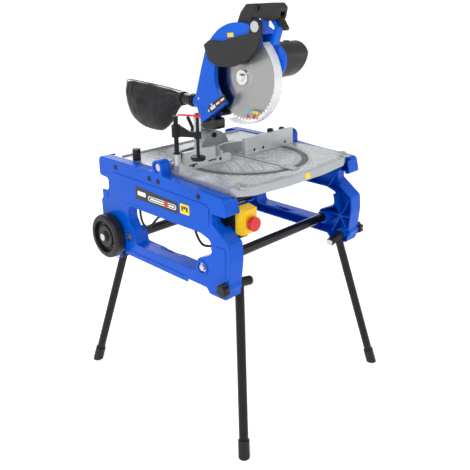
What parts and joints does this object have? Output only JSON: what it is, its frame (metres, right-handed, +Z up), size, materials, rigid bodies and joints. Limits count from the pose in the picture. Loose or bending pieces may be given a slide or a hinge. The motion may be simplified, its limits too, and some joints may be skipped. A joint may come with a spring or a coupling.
{
  "type": "mitre saw on stand",
  "caption": "Blue flip-over mitre saw with a clear blade guard and dust bag, built into a wheeled bench with four splayed folding legs.",
  "frame": {"origin": "under the middle of the machine, on the floor", "axes": "+X to the user's right, +Y away from the user towards the dust bag, +Z up"},
  "size_m": [0.662, 0.8878, 1.1678],
  "materials": {
    "blue_shell": "satin",
    "blue_head": "gloss",
    "black_tube": "gloss",
    "grey_leg": "satin",
    "steel_bolt": "satin",
    "rubber": "matt",
    "black_plastic": "satin",
    "grey_plastic": "satin",
    "yellow_plastic": "satin",
    "red_plastic": "gloss",
    "green_plastic": "satin",
    "table_casting": "machined",
    "bench_steel": "satin",
    "scale_bronze": "satin",
    "fence_alloy": "satin",
    "black_screw": "satin",
    "clamp_steel": "satin",
    "arm_alloy": "cast",
    "dark_plastic": "satin",
    "blade_steel": "brushed",
    "clear_guard": "clear",
    "bag_cloth": "woven"
  },
  "bodies": {
    "stand": {"frame_left": "blue_shell", "frame_right": "blue_shell", "tube_front": "black_tube", "tube_rear": "black_tube", "frame_bolts": "steel_bolt", "switch_box": "black_plastic", "switch_housing": "yellow_plastic", "motor_lead": "rubber", "lead_plug": "black_plastic"},
    "front_left_leg": {"leg_front_left": "grey_leg", "foot_front_left": "rubber"},
    "front_right_leg": {"leg_front_right": "grey_leg", "foot_front_right": "rubber"},
    "rear_left_leg": {"leg_rear_left": "grey_leg", "foot_rear_left": "rubber"},
    "rear_right_leg": {"leg_rear_right": "grey_leg", "foot_rear_right": "rubber"},
    "left_knob": {"knob_left": "black_plastic"},
    "right_knob": {"knob_right": "black_plastic"},
    "left_wheel": {"tyre_left": "rubber", "hub_left": "grey_plastic"},
    "right_wheel": {"tyre_right": "rubber", "hub_right": "grey_plastic"},
    "lid": {"switch_lid": "yellow_plastic"},
    "stop": {"stop_button": "red_plastic"},
    "start": {"start_button": "green_plastic"},
    "bench": {"table": "table_casting", "bench_plate": "bench_steel", "scale_ring": "scale_bronze", "pivot_pins": "steel_bolt", "fence_left": "fence_alloy", "fence_right": "fence_alloy", "fence_base": "fence_alloy", "fence_screws": "black_screw"},
    "latch": {"table_latch": "black_plastic"},
    "clamp": {"clamp_post": "clamp_steel"},
    "clamp_bracket": {"clamp_arm": "clamp_steel"},
    "clamp_spindle": {"clamp_screw": "clamp_steel"},
    "clamp_handle": {"clamp_lever": "red_plastic"},
    "mitre": {"turntable": "table_casting", "bevel_bolts": "black_screw"},
    "bevel": {"bevel_arm": "arm_alloy", "spring_housing": "black_plastic", "chop_pin": "steel_bolt"},
    "bevel_lock": {"bevel_lever": "black_plastic"},
    "head": {"head_arm": "blue_head", "side_cover": "dark_plastic", "head_screws": "steel_bolt", "handle": "dark_plastic", "belt_cover": "dark_plastic", "motor_housing": "dark_plastic", "drive_belt": "rubber", "dust_spout": "black_plastic", "dust_bag": "bag_cloth"},
    "switch_trigger": {"trigger": "black_plastic"},
    "lock_off": {"lock_button": "black_plastic"},
    "motor_rotor": {"rotor": "steel_bolt"},
    "saw_blade": {"blade": "blade_steel", "arbor": "steel_bolt"},
    "guard": {"lower_guard": "clear_guard"}
  },
  "joints": [
    {"name": "leg_front_left_fold", "type": "hinge", "parent": "stand", "child": "front_left_leg", "pos_m": [-0.223, -0.33225, 0.45], "axis": [0.9826, 0, -0.1856], "range_deg": [0, 103]},
    {"name": "leg_front_right_fold", "type": "hinge", "parent": "stand", "child": "front_right_leg", "pos_m": [0.223, -0.33225, 0.45], "axis": [0.9826, 0, 0.1856], "range_deg": [0, 103]},
    {"name": "leg_rear_left_fold", "type": "hinge", "parent": "stand", "child": "rear_left_leg", "pos_m": [-0.242, 0.16475, 0.395], "axis": [1, 0, 0], "range_deg": [-103, 0]},
    {"name": "leg_rear_right_fold", "type": "hinge", "parent": "stand", "child": "rear_right_leg", "pos_m": [0.242, 0.16475, 0.395], "axis": [1, 0, 0], "range_deg": [-103, 0]},
    {"name": "knob_left_turn", "type": "hinge", "parent": "stand", "child": "left_knob", "pos_m": [-0.292, -0.35225, 0.462], "axis": [1, 0, 0], "range_deg": [-180, 180]},
    {"name": "knob_right_turn", "type": "hinge", "parent": "stand", "child": "right_knob", "pos_m": [0.292, -0.35225, 0.462], "axis": [1, 0, 0], "range_deg": [-180, 180]},
    {"name": "wheel_left_spin", "type": "hinge", "parent": "stand", "child": "left_wheel", "pos_m": [-0.31, 0.14375, 0.48], "axis": [1, 0, 0], "continuous": true},
    {"name": "wheel_right_spin", "type": "hinge", "parent": "stand", "child": "right_wheel", "pos_m": [0.31, 0.14375, 0.48], "axis": [1, 0, 0], "continuous": true},
    {"name": "switch_lid_hinge", "type": "hinge", "parent": "stand", "child": "lid", "pos_m": [-0.218, -0.36625, 0.668], "axis": [1, 0, 0], "range_deg": [-90, 0]},
    {"name": "stop_press", "type": "slide", "parent": "lid", "child": "stop", "axis": [0, 1, 0], "range_m": [0, 0.004], "stiffness_N_per_m": 600},
    {"name": "start_press", "type": "slide", "parent": "stand", "child": "start", "axis": [0, 1, 0], "range_m": [0, 0.003], "stiffness_N_per_m": 600},
    {"name": "table_flip", "type": "hinge", "parent": "stand", "child": "bench", "pos_m": [0, -0.08525, 0.734], "axis": [1, 0, 0], "range_deg": [-40, 0]},
    {"name": "table_latch_turn", "type": "hinge", "parent": "bench", "child": "latch", "pos_m": [-0.24, 0.07175, 0.72], "axis": [0, 0, -1], "range_deg": [0, 90]},
    {"name": "clamp_swivel", "type": "hinge", "parent": "bench", "child": "clamp", "pos_m": [-0.238, -0.11025, 0.77], "axis": [0, 0, 1], "range_deg": [-25, 40]},
    {"name": "clamp_height", "type": "slide", "parent": "clamp", "child": "clamp_bracket", "axis": [0, 0, 1], "range_m": [-0.02, 0]},
    {"name": "clamp_feed", "type": "slide", "parent": "clamp_bracket", "child": "clamp_spindle", "axis": [0, 0, 1], "range_m": [-0.0201, 0.0011]},
    {"name": "clamp_lever_turn", "type": "hinge", "parent": "clamp_spindle", "child": "clamp_handle", "pos_m": [-0.222, -0.18025, 0.881], "axis": [0, 0, 1], "range_deg": [-1800, 90]},
    {"name": "mitre_turn", "type": "hinge", "parent": "bench", "child": "mitre", "pos_m": [0, -0.14025, 0.71], "axis": [0, 0, -1], "range_deg": [-45, 45]},
    {"name": "bevel_tilt", "type": "hinge", "parent": "mitre", "child": "bevel", "pos_m": [0, 0.02575, 0.72], "axis": [0, -1, 0], "range_deg": [0, 45]},
    {"name": "bevel_lever_turn", "type": "hinge", "parent": "bevel", "child": "bevel_lock", "pos_m": [-0.012, 0.05975, 0.77], "axis": [0, 1, 0], "range_deg": [0, 40]},
    {"name": "head_chop", "type": "hinge", "parent": "bevel", "child": "head", "pos_m": [0, 0.02475, 0.83], "axis": [-1, 0, 0], "range_deg": [-38, 0], "stiffness_Nm_per_rad": 14, "springref_deg": 85.94},
    {"name": "lower_guard_turn", "type": "hinge", "parent": "head", "child": "guard", "pos_m": [0, -0.13525, 0.957], "axis": [1, 0, 0], "range_deg": [-110.5, 0.5]},
    {"name": "blade_spin", "type": "hinge", "parent": "head", "child": "saw_blade", "pos_m": [0, -0.13525, 0.957], "axis": [1, 0, 0], "continuous": true},
    {"name": "motor_spin", "type": "hinge", "parent": "head", "child": "motor_rotor", "pos_m": [0.064, -0.22525, 1.01], "axis": [1, 0, 0], "continuous": true},
    {"name": "trigger_pull", "type": "hinge", "parent": "head", "child": "switch_trigger", "pos_m": [0, -0.26825, 1.132], "axis": [-1, 0, 0], "range_deg": [0, 8], "stiffness_Nm_per_rad": 0.4},
    {"name": "lock_off_press", "type": "slide", "parent": "head", "child": "lock_off", "axis": [1, 0, 0], "range_m": [0, 0.003], "stiffness_N_per_m": 400}
  ],
  "couplings": [
    {"joint": "lower_guard_turn", "follows": "head_chop", "ratio": 2.8947},
    {"joint": "motor_spin", "follows": "blade_spin", "ratio": 2},
    {"joint": "clamp_feed", "follows": "clamp_lever_turn", "m_per_rad": 0.00063662}
  ]
}
